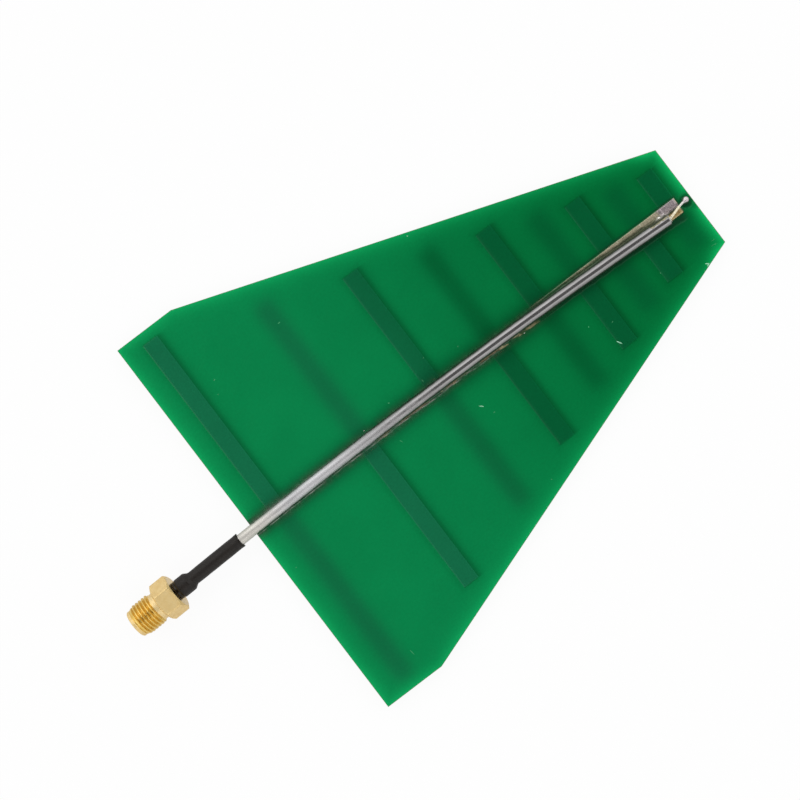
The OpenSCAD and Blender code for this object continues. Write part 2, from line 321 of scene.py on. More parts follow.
class Nodes:
    """A node tree with short calls."""

    def __init__(self, tree):
        self.tree = tree

    def feed(self, target, value):
        """Links a socket, or sets a number or a linear colour."""
        if isinstance(value, bpy.types.NodeSocket):
            self.tree.links.new(value, target)
        elif isinstance(value, np.ndarray):
            target.default_value = (*value.tolist(), 1.0)
        else:
            target.default_value = value

    def node(self, kind, feeds=(), **settings):
        """Outputs of a new node, with its settings made and its inputs fed."""
        made = self.tree.nodes.new("ShaderNode" + kind)
        for key, value in settings.items():
            setattr(made, key, value)
        for key, value in dict(feeds).items():
            self.feed(made.inputs[key], value)
        return made.outputs

    def math(self, operation, *values):
        return self.node("Math", enumerate(values), operation=operation)[0]

    def remap(self, value, low, high, to_low, to_high):
        feeds = {"Value": value, "From Min": low, "From Max": high, "To Min": to_low, "To Max": to_high}
        return self.node("MapRange", feeds, interpolation_type="SMOOTHSTEP")["Result"]

    def mix(self, factor, a, b, blend="MIX"):
        return self.node("Mix", {"Factor": factor, 6: a, 7: b}, data_type="RGBA", blend_type=blend)[2]

    def tint(self, colour, by):
        return self.mix(1.0, colour, by, "MULTIPLY")

    def between(self, factor, a, b):
        """Mix of two numbers."""
        return self.node("Mix", {"Factor": factor, 2: a, 3: b}, data_type="FLOAT")[0]

    def rays(self):
        """Whether a ray comes from the camera, and whether from a mirror or glass."""
        path = self.node("LightPath")
        return path["Is Camera Ray"], self.math("MAXIMUM", path["Is Glossy Ray"], path["Is Transmission Ray"])


class Paint(Nodes):
    """A material's shader, with textures that stand in the part's own frame."""

    def __init__(self, name, **sockets):
        self.material = bpy.data.materials.new(name)
        self.material.use_nodes = True
        super().__init__(self.material.node_tree)
        self.shader = self.tree.nodes["Principled BSDF"]
        for key, value in sockets.items():
            self.set(key.replace("_", " "), value)

    def set(self, key, value):
        self.feed(self.shader.inputs[key], value)

    def place(self):
        return self.node("TexCoord")["Object"]

    def along(self):
        """Place along the board."""
        return self.node("SeparateXYZ", {0: self.place()})["X"]

    def noise(self, size_mm, detail=3.0, rough=0.5, stretch=None):
        place = self.place()
        if stretch:
            place = self.node("Mapping", {"Vector": place, "Scale": stretch})["Vector"]
        feeds = {"Vector": place, "Scale": 1 / (size_mm * MM), "Detail": detail, "Roughness": rough}
        return self.node("TexNoise", feeds)["Fac"]

    def vary(self, low, high, *noise):
        """A number that wanders between two values with a noise."""
        return self.remap(self.noise(*noise), *NOISE_SPAN, low, high)

    def value(self, name):
        return self.node("Attribute", attribute_name=name)["Fac"]

    def tone(self):
        return self.node("Attribute", attribute_name="tone")["Color"]

    def done(self, base, rough, *bumps):
        """The material, with colour, roughness and bumps; each bump lies over the one before."""
        self.set("Base Color", base)
        self.set("Roughness", rough)
        under = {}
        for height, depth_mm, strength in bumps:
            feeds = {"Strength": strength, "Distance": depth_mm * MM, "Height": height, **under}
            under = {"Normal": self.node("Bump", feeds)["Normal"]}
            self.set("Normal", under["Normal"])
        return self.material


GLOW_REACH = 1.15
LIP_GLOSS = 0.12
POLISHED = 0.2
# Where the line's tin turns from pale to grey and from dull to bright, along the board
PALE_TO = 10
BRIGHT_FROM = 28
BRIGHT_TO = 48
BRIGHT_WANDER = 4


def coating_material():
    """Vertex tones, and light that comes through the laminate near the board's edges."""
    m = Paint("green_coating", IOR=1.5, Specular_IOR_Level=0.3)
    near = m.math("POWER", math.exp(-1 / GLOW_REACH), m.value("edge_mm"))
    glow = m.tint(EDGE_GLOW, m.math("MULTIPLY", near, m.value("glow")))
    lit = m.mix(1.0, m.tone(), glow, "ADD")
    grain = m.remap(m.noise(0.5, 4.0, 0.65), 0.25, 0.75, 0.95, 1.05)
    base = m.tint(lit, m.math("MULTIPLY", grain, m.vary(0.97, 1.03, 9.0, 2.0)))
    peel = (m.noise(1.1, 2.0), 0.004, 0.4)
    return m.done(base, m.vary(0.10, 0.16, 1.4), peel, (m.noise(0.18, 2.0), 0.0012, 0.4))


def solder_material():
    """Solder under flux: tone, metal and dryness vary from vertex to vertex."""
    m = Paint("solder_and_flux", IOR=1.5, Specular_IOR_Level=0.3)
    m.set("Metallic", m.value("metal"))
    base = m.tint(m.tone(), m.vary(0.8, 1.16, 0.45, 4.0, 0.7))
    uneven = m.noise(0.4)
    wet = m.remap(uneven, *NOISE_SPAN, 0.12, 0.22)
    dry = m.remap(uneven, *NOISE_SPAN, 0.3, 0.52)
    return m.done(base, m.between(m.value("dry"), wet, dry), (m.noise(0.3, 4.0, 0.6), 0.012, 0.5))


def line_material():
    """Drawn and tinned tube: dull and pale at the wide end, bright and grey towards the tip, with painted
    shade on its flanks.
    """
    m = Paint("tinned_copper")
    places = (0, PALE_TO, BRIGHT_FROM, BRIGHT_TO)
    wide, pale_to, bright_from, bright_to = [float((ORIGIN[0] + x) * MM) for x in places]
    patches = m.vary(-BRIGHT_WANDER * MM, BRIGHT_WANDER * MM, 3.0)
    bright = m.remap(m.math("ADD", m.along(), patches), bright_from, bright_to, 0.0, 1.0)
    m.set("Metallic", m.remap(bright, 0.0, 1.0, 1.0, 0.78))
    streaks = m.noise(1.6, 4.0, 0.6, (0.12, 1.0, 1.0))
    dull = m.remap(streaks, *NOISE_SPAN, 0.5, 0.66)
    gloss = m.remap(streaks, *NOISE_SPAN, 0.1, 0.18)
    cool = m.remap(m.along(), wide, pale_to, 0.0, 1.0)
    fresh = m.mix(cool, linear(207, 204, 197), linear(199, 198, 200))
    grey = m.mix(m.remap(m.along(), pale_to, bright_to, 0.0, 1.0), fresh, linear(150, 148, 148))
    stain = m.remap(m.noise(2.5, 5.0, 0.7, (0.3, 1.0, 1.0)), 0.3, 0.72, 1.04, 0.86)
    drawn = m.vary(0.9, 1.08, 0.7, 3.0, 0.6, (0.07, 1.0, 1.0))
    clean = m.tint(grey, m.math("MULTIPLY", stain, drawn))
    # Painted shade darkens the flanks
    base = m.mix(m.value("flank_shade"), clean, linear(80, 85, 76))
    return m.done(base, m.between(bright, dull, gloss), (m.noise(0.5, 3.0, 0.5, (0.1, 1.0, 1.0)), 0.006, 0.5))


def bright_tin_material():
    m = Paint("bright_tin", Metallic=1.0)
    base = m.tint(linear(196, 186, 189), m.vary(0.86, 1.06, 0.5))
    return m.done(base, m.vary(0.04, 0.1, 0.35, 2.0), (m.noise(0.5, 2.0), 0.01, 0.4))


def wire_material():
    """Tinned wire whose first stretch is cream with flux: tone and metal vary along it."""
    m = Paint("fluxed_wire", IOR=1.5)
    m.set("Metallic", m.value("metal"))
    base = m.tint(m.tone(), m.vary(0.88, 1.06, 0.4))
    return m.done(base, m.vary(0.14, 0.28, 0.35, 2.0), (m.noise(0.5, 2.0), 0.01, 0.4))


def gold_material():
    """Gold plate: satin and pale on the flats, deeper in the thread, polished on the rear face."""
    m = Paint("gold_plate", Metallic=1.0)
    thread = m.value("thread")
    wear = m.vary(0.0, 1.0, 1.2, 4.0, 0.6)
    satin = m.mix(wear, linear(233, 207, 150), linear(225, 197, 138))
    deep = m.mix(wear, linear(229, 197, 114), linear(221, 186, 100))
    turned = m.mix(m.value("pale"), satin, linear(252, 240, 205))
    grain = m.noise(0.6, 4.0, 0.7)
    flats = m.remap(grain, *NOISE_SPAN, 0.48, 0.58)
    turns = m.remap(grain, *NOISE_SPAN, 0.32, 0.42)
    rough = m.between(m.value("polish"), m.between(thread, flats, turns), POLISHED)
    return m.done(m.mix(thread, turned, deep), rough, (m.noise(0.25), 0.003, 0.4))


def sleeve_material():
    """Shrunk plastic: satin, with its heated lips glossy."""
    m = Paint("black_sleeve", IOR=1.48, Specular_IOR_Level=0.32)
    base = m.mix(m.vary(0.0, 1.0, 1.3, 4.0, 0.6), linear(18, 13, 9), linear(26, 20, 15))
    rough = m.between(m.value("lip"), m.vary(0.42, 0.56, 0.5), LIP_GLOSS)
    return m.done(base, rough, (m.noise(0.22, 4.0, 0.6), 0.012, 0.35))


def laminate_material():
    """Sawn laminate: green layers with darker fibres."""
    m = Paint("glass_epoxy", IOR=1.5)
    layers = m.noise(0.16, 2.0, 0.5, (0.02, 0.02, 1.0))
    fibres = m.noise(0.35, 3.0, 0.6, (1.0, 1.0, 0.25))
    tone = m.mix(m.remap(layers, 0.35, 0.65, 0.0, 1.0), linear(66, 122, 70), linear(100, 146, 88))
    base = m.mix(m.remap(fibres, 0.35, 0.7, 0.0, 0.45), tone, linear(66, 82, 48))
    return m.done(base, m.remap(fibres, *NOISE_SPAN, 0.45, 0.7), (layers, 0.03, 0.6))


def copper_material():
    m = Paint("etched_copper", Metallic=1.0)
    base = m.mix(m.vary(0.0, 1.0, 0.8, 4.0, 0.6), linear(196, 140, 104), linear(160, 104, 70))
    return m.done(base, m.vary(0.3, 0.46, 0.3))


def core_material():
    m = Paint("white_core", IOR=1.36)
    base = m.mix(m.vary(0.0, 1.0, 0.6), linear(238, 236, 230), linear(224, 220, 210))
    return m.done(base, m.vary(0.36, 0.5, 0.4, 2.0), (m.noise(0.2, 2.0), 0.006, 0.4))


# Scuffs, and specks of tin painted white as glints
def fleck_material():
    m = Paint("scuffs_and_glints", IOR=1.5)
    return m.done(m.tint(m.tone(), m.vary(0.85, 1.1, 0.12)), m.vary(0.4, 0.6, 0.1, 2.0))


bright_tin = bright_tin_material()
gold = gold_material()
copper = copper_material()

# CAD nodes that no piece below replaces. The insulator keeps the plain white that comes with the frame
for node, material in (("substrate", laminate_material()), ("front_copper", copper), ("back_copper", copper),
                       ("coax_dielectric", core_material()),
                       ("connector_insulator", bpy.data.materials["white_core"]),
                       ("connector_contact", gold), ("connector_solder", bright_tin)):
    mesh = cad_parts[node].data
    mesh.materials.clear()
    mesh.materials.append(material)

# Coating: a sheet that rises over the strips of its face
FAR = 99.0
SHADE_REACH = 0.75
SHADE_LEVEL = 0.6 * SHADE_REACH
STRIP_DRIFT = 0.25
STRIP_BLUR = 0.04
OVERLAP = 0.05
# Copper seen through the laminate as painted shade: where its strips and its boom begin, and the boom's
# growth and blur
BURIED_FOOT = -2.0
BURIED_START = -9.0
BURIED_GROWTH = 0.25
BURIED_BOOM_BLUR = 1.2


def strips(face):
    """Middle, half length, width and side of each strip on a face."""
    return zip(strip_x, strip_half, strip_w, strip_side * face)


def strip_depth(x, y, face, drift=0.0):
    """Distance inside the nearest strip of a face, negative outside; drift widens it to the tip."""
    depth = np.full(np.shape(x), -FAR)
    for cx, half, width, side in strips(face):
        inside = np.minimum(width / 2 + drift * (x > cx) - np.abs(x - cx), half - y * side)
        depth = np.maximum(depth, np.where(y * side > 0, inside, -FAR))
    return depth


def buried_shade(x, y, face, blur):
    """How much of a face's copper is seen through the laminate, as painted shade where it blocks light in the
    laminate, 0 to 1.
    """
    shade = np.zeros(np.shape(x))
    for cx, half, width, side in strips(face):
        across = soft_box(x, cx - width / 2, cx + width / 2 + SHADE_REACH, blur)
        shade = np.maximum(shade, across * soft_box(y * side, BURIED_FOOT, half, blur))
    half = BOOM_HALF + BURIED_GROWTH
    boom = soft_box(y, -half, half, BURIED_BOOM_BLUR * blur) * soft_box(x, BURIED_START, BOOM_END, blur)
    return np.maximum(shade, boom)


def edge_distance(x, y):
    """Distance to the nearest edge of the board."""
    slope = np.array([BOARD_LEN - SHOULDER, TIP_HALF - WIDE_HALF])
    normal = np.array([-slope[1], slope[0]]) / np.linalg.norm(slope)
    slant = (WIDE_HALF - np.abs(y)) * normal[1] - (x - SHOULDER) * normal[0]
    return np.minimum.reduce([x, BOARD_LEN - x, WIDE_HALF - np.abs(y), slant])


STRIP_STEPS = (-0.35, -0.22, -0.1, -0.03, 0.03, 0.1, 0.2)
SHADE_STEPS = (0.28, 0.5, 0.75, 1.1)
RISE = (-0.22, 0.2)
COAT_STEP = 0.8
TIP_STEP = 0.2
TIP_LINES_BACK = 5
FLUX_STEP = 0.1
FLUX_REACH = 1.7
HOLE_SPAN = 1.3
HOLE_STEP = 0.13
LEAST_STEP = 0.035
OPEN_SNAP = 0.2
BACK_BOOM_PAST = 0.9
FRONT_OPEN_R = 0.745
BACK_OPEN_R = 0.7


def thinned(lines):
    """Sorted grid lines, without those closer than the least step."""
    kept = []
    for value in sorted(lines):
        if not kept or value - kept[-1] > LEAST_STEP:
            kept.append(value)
    return np.array(kept)


def coating_lines(face):
    """Grid lines along x and y, closer at the strips, the boom and the tip."""
    far_x = BOARD_LEN - EDGE_BACK
    xs = list(np.linspace(EDGE_BACK, far_x, int(BOARD_LEN / COAT_STEP)))
    ys = list(np.linspace(EDGE_BACK - WIDE_HALF, WIDE_HALF - EDGE_BACK, int(2 * WIDE_HALF / COAT_STEP)))
    xs += [BOOM_END + WINDOW_GAP]
    for cx, half, width, side in strips(face):
        for step in STRIP_STEPS:
            xs += [cx - width / 2 + step, cx + width / 2 - step]
            ys += [side * (half - step)]
        xs += [cx + width / 2 + step for step in SHADE_STEPS]
    window = BOOM_HALF + WINDOW_GAP
    for offset in np.arange(0.0, FLUX_REACH, FLUX_STEP):
        ys += [window + offset, -window - offset]
    near_hole = np.arange(-HOLE_SPAN, HOLE_SPAN + HOLE_STEP / 2, HOLE_STEP)
    xs += list(HOLE_X + near_hole[HOLE_X + near_hole < far_x])
    ys += list(near_hole)
    xs += list(np.arange(BOOM_END - TIP_LINES_BACK * TIP_STEP, far_x, TIP_STEP))
    return thinned(xs), thinned(ys)


def coating_sheet(face, open_r):
    """Flat sheet of the coating's outline, with its openings."""
    xs, ys = coating_lines(face)
    gx, gy = np.meshgrid(xs, ys, indexing="ij")
    mid_x = (gx[:-1, :-1] + gx[1:, 1:]) / 2
    mid_y = (gy[:-1, :-1] + gy[1:, 1:]) / 2
    keep = np.hypot(mid_x - HOLE_X, mid_y) > open_r
    if face > 0:
        window = (np.abs(mid_y) < BOOM_HALF + WINDOW_GAP) & (mid_x < BOOM_END + WINDOW_GAP)
        keep &= ~window
    bm = bmesh.new()
    verts = [[bm.verts.new((x, y, 0.0)) for y in ys] for x in xs]
    for i, j in zip(*np.nonzero(keep)):
        bm.faces.new((verts[i][j], verts[i + 1][j], verts[i + 1][j + 1], verts[i][j + 1]))
    bmesh.ops.delete(bm, geom=[v for v in bm.verts if not v.link_faces], context="VERTS")
    for side in (1, -1):
        normal = Vector((WIDE_HALF - TIP_HALF, side * (BOARD_LEN - SHOULDER), 0)).normalized()
        on_edge = Vector((SHOULDER, side * WIDE_HALF, 0)) - normal * EDGE_BACK
        geom = bm.verts[:] + bm.edges[:] + bm.faces[:]
        bmesh.ops.bisect_plane(bm, geom=geom, plane_co=on_edge, plane_no=normal, clear_outer=True, dist=1e-5)
    # The opening round the feed is drawn out to a true circle
    for v in bm.verts:
        out = math.hypot(v.co.x - HOLE_X, v.co.y)
        if v.is_boundary and out < open_r + OPEN_SNAP:
            v.co.x = HOLE_X + (v.co.x - HOLE_X) * open_r / out
            v.co.y *= open_r / out
    return bm


def make_coating(name, face, open_r, node):
    bm = coating_sheet(face, open_r)
    co = np.array([v.co for v in bm.verts])
    rise = COPPER_T * smooth(*RISE, strip_depth(co[:, 0], co[:, 1], face))
    if face < 0:
        boom = np.minimum(BOOM_HALF - np.abs(co[:, 1]), HOLE_X + BACK_BOOM_PAST - co[:, 0])
        rise = np.maximum(rise, COPPER_T * smooth(*RISE, boom))
    top = bm.verts[:]
    for v, z in zip(top, MASK_T + rise):
        v.co.z = z
    # The underside follows the top at the coating's thickness
    twin = bmesh.ops.duplicate(bm, geom=bm.faces[:])["vert_map"]
    rims = [e for e in bm.edges if e.is_boundary]
    for v in top:
        twin[v].co.z = v.co.z - MASK_T
    for e in rims:
        a, b = e.verts
        if a in twin and b in twin and twin[a] is not None and twin[a].co.z < a.co.z:
            bm.faces.new((a, b, twin[b], twin[a]))
    base = 0.0 if face > 0 else -LAMINATE_T
    for v in bm.verts:
        v.co = to_frame((v.co.x, v.co.y, base + face * v.co.z))
    paint_coating(finish_piece(name, bm, coating, 60, [node]), face)


def cast_shade(x, y, face):
    """Shade past each strip's end and its edge towards the tip, darkest along the edge."""
    most = np.zeros(np.shape(x))
    for cx, half, width, side in strips(face):
        past = x - cx - width / 2 - STRIP_DRIFT
        beside = (past > -OVERLAP) & (y * side > BOOM_HALF)
        fall = fall_off(past - SHADE_LEVEL, SHADE_REACH) + 0.4 * smooth(0.25, 0.1, past)
        most = np.maximum(most, beside * fall * smooth(-0.3, 0.1, half - y * side))
        beyond = y * side - half
        across = smooth(-0.2, 0.1, width / 2 - np.abs(x - cx))
        most = np.maximum(most, (beyond > -OVERLAP) * smooth(0.35, 0.07, beyond) * across)
    return most


def near_rim(x, y, face):
    """Thin band of painted highlight just inside each strip's edge towards the jack, 0 to 1."""
    most = np.zeros(np.shape(x))
    for cx, half, width, side in strips(face):
        past = x - cx + width / 2
        inside = band(-0.02, 0.06, 0.08, 0.26, past)
        most = np.maximum(most, inside * (y * side > BOOM_HALF) * smooth(-OVERLAP, OVERLAP, half - y * side))
    return most


# Flux and painted shade beside the line. Pairs are ramps: along the board, or out from the line's axis
FLUX_WAVES = (1.2, 3.0, 9.0)
LINE_SHADE_AT = 1.2
LINE_SHADE_SPREAD = 1.5
LINE_SHADE_SHARE = 0.25
WIDER = (38, 46, 68, 76)
LEFT_FLUX_AT = 1.15
LEFT_FLUX_REACH = 0.4
LEFT_FLUX_LEN = 12
RIGHT_FLUX_AT = 1.5
RIGHT_FLUX_REACH = 0.6
RIGHT_FLUX_OUT = (60, 72)
FLUX_OUTSIDE = (3.0, 2.1)
CREPT_RIGHT_IN = (58, 70)
CREPT_RIGHT_EDGE = -1.72
CREPT_LEFT_IN = (66, 80)
FEED_SHADE = (1.4, 1.1)
FEED_RIM_R = 1.45


def beside_line(tone, x, y):
    """A green tone, with painted shade beside the line, and greyed by flux."""
    off = y - line_y(x)
    away = np.abs(off)
    left = off > 0
    wobble = Ripple(5, FLUX_WAVES, 1)(x + 40 * left)
    # Painted shade beside the line, wider in the middle of the board
    spread = LINE_SHADE_SPREAD + band(*WIDER, x)
    tone = tone * (1 - LINE_SHADE_SHARE * bell(away - LINE_SHADE_AT, spread))[:, None]
    left_fade = fall_off(away - LEFT_FLUX_AT, LEFT_FLUX_REACH)
    right_fade = fall_off(away - RIGHT_FLUX_AT, RIGHT_FLUX_REACH)
    left_grey = 0.2 + 0.5 * fall_off(x - 4, LEFT_FLUX_LEN)
    right_grey = 0.22 * (1 - smooth(*RIGHT_FLUX_OUT, x))
    grey = np.where(left, left_grey * left_fade, right_grey * right_fade)
    grey = grey * (1 + 0.5 * wobble) * smooth(*FLUX_OUTSIDE, away)
    return mix(tone, FLUX_GREY, np.clip(grey, 0, 1) * smooth(BOOM_END + 0.5, BOOM_END, x))


def paint_flux(tone, x, y):
    """Flux on the coating: grey beside the line, and towards the tip a spread with a pale rim, darkened by
    painted shade; painted shadow also lies beside the solder's edge and round the feed.
    """
    off = y - line_y(x)
    tone = beside_line(tone, x, y)
    # On the right of the line: flux spread, darkened by painted shade from the line, with a pale rim
    spread_and_shade = band(*CREPT_RIGHT_IN, BOOM_END - 1.0, BOOM_END + 0.5, x)
    rim_at = CREPT_RIGHT_EDGE + 0.08 * Ripple(6, FLUX_WAVES, 1)(x)
    inside = smooth(rim_at - 0.05, rim_at + 0.3, off) * (off < 0)
    tone = mix(tone, SHADED_FLUX, 0.85 * spread_and_shade * inside)
    tone = mix(tone, CREPT_RIM, 0.9 * spread_and_shade * bell(off - rim_at, 0.08))
    # On the left of the solder's edge: a painted shadow of its raised edge
    outside = smooth(*CREPT_LEFT_IN, x) * smooth(BOOM_HALF + 0.6, BOOM_HALF + 0.15, y)
    tone = mix(tone, SHADED_FLUX, 0.7 * outside * (y > 0) * (x < BOOM_END + 0.5))
    # Round the feed, on its right: painted shade, with a pale rim
    near = np.hypot(x - HOLE_X, y + 0.15)
    right = 0.45 + 0.55 * smooth(0.5, -0.5, y)
    tone = mix(tone, SHADED_FLUX * 0.5, right * smooth(*FEED_SHADE, near))
    return mix(tone, CREPT_RIM, 0.6 * right * bell(near - FEED_RIM_R, 0.1))


# Tones and glow of the coating. Pairs are ramps along the board
OPEN_SPAN = (16, 98)
BURIED_SPAN = (30, 60)
STRIP_SPAN = (24, 60)
RIM_SPAN = (16, 30)
TIP_GLOW_SPAN = (97, 101.5)
STRIP_SHADE = 0.14
CAST_SHADE = 0.25
TONE_BLUR = 1.5
GLOW_BLUR = 1.2


def green_tone(x, y, face):
    """Colour of the coating: open laminate, copper of the other face showing through as painted shade, and
    strips, with painted shade past them and a painted highlight along their edges.
    """
    tone = mix(OPEN_WIDE, OPEN_TIP, smooth(*OPEN_SPAN, x))
    own = strip_depth(x, y, face, STRIP_DRIFT)
    shadow = STRIP_SHADE * smooth(-1.6, -0.05, own) + CAST_SHADE * cast_shade(x, y, face)
    tone = tone * (1 - np.where(own < 0, shadow, 0.0))[:, None]
    # Copper of the other face: blurred painted shade where it blocks light in the laminate
    buried = mix(BURIED_WIDE, BURIED_TIP, smooth(*BURIED_SPAN, x))
    tone = mix(tone, buried, buried_shade(x, y, -face, TONE_BLUR))
    # Strips are lighter just inside their edges: a painted highlight
    strip = mix(STRIP_WIDE, STRIP_TIP, smooth(*STRIP_SPAN, x)) * (1 + 0.12 * smooth(0.12, 0.03, own))[:, None]
    tone = mix(tone, strip, smooth(-STRIP_BLUR, 0.0, own))
    # Painted highlight inside each strip's edge towards the jack
    return tone + mix(0.35 * RIM_LIGHT, RIM_LIGHT, smooth(*RIM_SPAN, x)) * near_rim(x, y, face)[:, None]


def paint_coating(mesh, face):
    x, y, _ = mesh_points(mesh).T
    tone = green_tone(x, y, face)
    if face > 0:
        tone = paint_flux(tone, x, y)
    add_colour(mesh, "tone", tone)
    add_value(mesh, "edge_mm", np.maximum(edge_distance(x, y), 0))
    on_strip = smooth(-STRIP_BLUR, 0.0, strip_depth(x, y, face))
    shaded = 1 - 0.75 * np.maximum(on_strip, buried_shade(x, y, -face, GLOW_BLUR) * 0.6)
    at_feed = smooth(2.6, 1.2, np.hypot(x - BOARD_LEN, y + 0.5))
    add_value(mesh, "glow", shaded * (0.76 + 0.9 * smooth(*TIP_GLOW_SPAN, x)) * (1 - 0.7 * at_feed))


coating = coating_material()
make_coating("front_coating", 1, FRONT_OPEN_R, "front_solder_mask")
make_coating("back_coating", -1, BACK_OPEN_R, "back_solder_mask")

# Solder on the boom: an uneven bed, fillets against the line, a ridge on its right and a pool at its end
FLUX_BROWN = linear(104, 92, 64)
OLIVE = linear(70, 78, 56)
TAN = linear(172, 164, 138)
RIDGE_GREY = linear(150, 156, 146)
CREVICE_SHADE = linear(20, 30, 23)
POOL_MAUVE = linear(166, 155, 157)
PATCH_GOLD = linear(168, 142, 92)
SPECK_TAN = linear(176, 166, 128)
TIN_AND_GLINT = linear(222, 220, 214)
SOLDER_START = 0.02
SKIRT_BACK = 0.01
SKIRT_HALF = BOOM_HALF + WINDOW_GAP - SKIRT_BACK
SKIRT_Z = MASK_T + 0.002
SKIRT_ON_STRIP = COPPER_T + 0.006 - SKIRT_Z
BED_T = 0.03
CONTACT = 0.74
MOST_CONTACT = 1.06
TOE = 0.3
RIDGE_W = 0.11
RIDGE_H = 0.08
LUMP_H = 0.16
POOL_RISE = 0.5
POOL_REACH = 0.6
PLATE_H = 0.2
PATCH_H = 0.1
# Ramps along the board
LATE_IN = (62, 78)
MIDDLE = (20, 30, 56, 68)
RIDGE_OUT = (50, 62)
# Ramps from the line's end
LUMP_IN = (-3.0, -1.3)
RIDE_IN = (-6.0, -3.6)
SOLDER_ROWS = 521
SOLDER_COLUMNS = 53


def ridge_offset(x):
    """Where the ridge runs on the right of the line's axis."""
    wander = Ripple(14, (5.0, 13.0), 1)(x)
    return -1.33 - 0.2 * smooth(12, 55, x) + (0.02 + 0.05 * smooth(18, 30, x)) * wander


def boom_solder_top(x, y):
    """Top of the solder and of the thin flux that spreads from it to the coating."""
    bumpy = Ripple(11, (0.9, 2.2, 5.0))
    broad = Ripple(12, (3.0, 8.0, 20.0), 1)
    rim_wave = Ripple(13, (0.8, 2.5, 7.0), 1)
    bumps = bumpy(x, y)
    off = y - line_y(x)
    away = np.abs(off)
    left = off > 0
    past = x - LINE_END_X
    lump = smooth(*LUMP_IN, past) * left
    late = smooth(*LATE_IN, x) * left
    middle = band(*MIDDLE, x)
    # A thin bed, with fillets from their toes up to where they touch the line
    bed = BED_T + 0.08 * late + 0.03 * middle * (off < 0)
    bed = bed + (0.008 + 0.018 * late) * bumps + 0.06 * late * smooth(1.3, 1.9, off)
    contact = CONTACT + 0.05 * broad(x + 500 * left) + np.where(left, 0.2 * late, 0.17 * middle)
    contact = np.minimum(contact + 0.16 * lump + 0.16 * left * smooth(34, 14, x), MOST_CONTACT)
    spread = np.where(left, 0.14 * late, 0.2 * middle) * (1 + 0.5 * broad(1.7 * x + 90))
    toe = contact + TOE + spread + 0.3 * lump
    under = LINE_Z - np.sqrt(np.maximum(LINE_R ** 2 - np.minimum(away, contact) ** 2, 0)) - 0.02
    climb = np.clip((toe - away) / (toe - contact), 0, 1)
    fillet = np.maximum(bed, bed + (under - bed) * climb ** 2)
    seated = np.where(away < contact, np.maximum(under, BED_T), fillet)
    ridge = bell(off - ridge_offset(x), RIDGE_W) * (1 - smooth(*RIDGE_OUT, x))
    seated = seated + RIDGE_H * ridge * np.clip(0.6 + 0.9 * bumps, 0, 1.5)
    # Near the line's end it is lumpy, and drawn up over the line's left side
    flank = band(0.9, 1.1, 1.4, 1.7, off)
    seated = seated + LUMP_H * lump * np.abs(bumpy(2.2 * x, 2.2 * y)) * flank
    over = LINE_Z + np.sqrt(np.maximum(LINE_R ** 2 - off ** 2, 0.0)) + 0.03 + 0.02 * bumps
    over = over - 0.6 * smooth(0.5, 0.3, off + 0.08 * broad(2.3 * x))
    slump = bed + (over - bed) * np.clip((1.5 - off) / 0.6, 0, 1) ** 1.5
    drawn_up = np.maximum(np.where(off < 0.9, over, slump) - seated, 0)
    seated = seated + smooth(*RIDE_IN, past) * drawn_up * (off > 0.15)
    # Past the line's end it falls away into a pool, with a raised plate on the left and a patch on the right
    reach = np.hypot(np.maximum(past, 0), np.maximum(away - 0.7, 0))
    pool = 0.08 + POOL_RISE * bell(reach, POOL_REACH) * smooth(-0.1, 0.2, past) + 0.015 * bumps
    plate = PLATE_H * smooth(-1.8, -0.6, past) * smooth(0.15, 0.5, y) * smooth(0, 0.25, BOOM_END - x)
    patch = PATCH_H * smooth(0.6, 0.9, past) * smooth(-0.45, -0.65, y) * smooth(0, 0.2, BOOM_END - x)
    z = np.where(past <= 0, seated, pool) + (plate + patch) * (away > contact)
    # At the boom's edge it comes down to a skirt of flux
    width = 0.5 - 0.36 * late
    inside = smooth(0, 1, (BOOM_HALF + 0.03 * rim_wave(x + 300 * (y > 0)) - np.abs(y)) / width)
    inside = inside * smooth(-0.05, 0.3, x - SOLDER_START) * smooth(0, 0.1, BOOM_END - x)
    at_boom = smooth(0.13, 0.03, np.abs(y) - BOOM_HALF)
    on_copper = np.maximum(smooth(-0.1, 0.0, strip_depth(x, y, 1)), at_boom)
    skirt = SKIRT_Z + SKIRT_ON_STRIP * on_copper
    return skirt + (COPPER_T + z - skirt) * inside


# Ramps of the solder's tones along the board
TAN_IN = (55, 92)
BROWN = (24, 34, 60, 72)
DARK_IN = (62, 76)
PALE_OUT = (44, 60)


